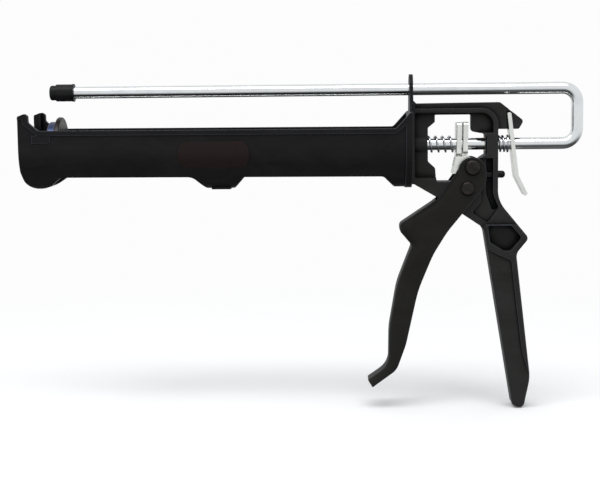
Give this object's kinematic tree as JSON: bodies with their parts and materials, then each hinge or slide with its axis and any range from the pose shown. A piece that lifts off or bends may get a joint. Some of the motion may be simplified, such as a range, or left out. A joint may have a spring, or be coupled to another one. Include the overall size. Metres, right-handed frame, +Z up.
{
  "type": "caulking gun",
  "caption": "Skeleton-cradle cartridge gun with a U-bent thrust rod, twin drive plates, release catch and pistol grip.",
  "frame": {"origin": "on the thrust rod's axis, on the face of the cradle's bulkhead that a cartridge sits against", "axes": "+X from the nozzle end towards the rod's bend, +Y across to the far side, +Z up, with the grip pointing down"},
  "size_m": [0.3715, 0.0574, 0.2237],
  "materials": {
    "black_handle": "satin black glass-filled nylon, handle",
    "black_moulding": "satin black glass-filled nylon",
    "black_trigger": "satin black glass-filled nylon, trigger",
    "bright_zinc": "bright zinc plate on drawn steel bar",
    "zinc_stamping": "bright zinc plate on stamped steel",
    "spring_steel": "zinc plated spring wire",
    "blued_zinc": "blue passivated zinc",
    "dark_steel": "black oxide steel",
    "sintered_bronze": "oiled sintered bronze",
    "black_vinyl": "soft black vinyl",
    "badge_film": "blank satin black plate"
  },
  "bodies": {
    "gun_body": {"cradle": "black_moulding", "cradle_screws": "dark_steel", "badge_plate": "badge_film", "frame": "black_handle", "front_guide_bush": "sintered_bronze", "rear_guide_bush": "sintered_bronze", "pivot_bush": "sintered_bronze", "stop_peg": "black_vinyl", "drive_spring": "spring_steel", "release_spring": "spring_steel"},
    "trigger_body": {"trigger": "black_trigger", "pivot_pin": "dark_steel", "pivot_pin_cap": "dark_steel", "push_pin": "dark_steel", "push_pin_cap": "dark_steel", "push_sleeve": "spring_steel"},
    "stirrup_body": {"stirrup": "zinc_stamping"},
    "drive_plates": {"front_drive_plate": "zinc_stamping", "rear_drive_plate": "zinc_stamping"},
    "thrust_rod": {"push_rod": "bright_zinc", "rod_end_cap": "black_vinyl", "plunger_disc": "dark_steel", "plunger_cup": "blued_zinc", "plunger_rivet_washer": "bright_zinc"},
    "release_catch": {"release_lever": "zinc_stamping", "release_washer": "spring_steel"}
  },
  "joints": [
    {"name": "trigger_pull", "type": "hinge", "parent": "gun_body", "child": "trigger_body", "pos_m": [0.0391, 0, -0.0292], "axis": [0, -1, 0], "range_deg": [0, 30], "stiffness_Nm_per_rad": 0.4, "springref_deg": -14.9, "deforming": ["drive_spring"]},
    {"name": "stirrup_swing", "type": "hinge", "parent": "trigger_body", "child": "stirrup_body", "pos_m": [0.0424, 0, -0.0154], "axis": [0, -1, 0], "range_deg": [-30, 0]},
    {"name": "plates_slide", "type": "slide", "parent": "gun_body", "child": "drive_plates", "axis": [-1, 0, 0], "range_m": [0, 0.0074]},
    {"name": "rod_slide", "type": "slide", "parent": "gun_body", "child": "thrust_rod", "axis": [1, 0, 0], "range_m": [-0.009, 0.222]},
    {"name": "release_press", "type": "hinge", "parent": "gun_body", "child": "release_catch", "pos_m": [0.0668, 0, 0.0192], "axis": [0, 1, 0], "range_deg": [0, 6], "stiffness_Nm_per_rad": 0.4, "springref_deg": -6.88, "deforming": ["release_spring"]}
  ],
  "couplings": [
    {"joint": "stirrup_swing", "follows": "trigger_pull", "ratio": -1},
    {"joint": "plates_slide", "follows": "trigger_pull", "m_per_rad": 0.01402}
  ]
}
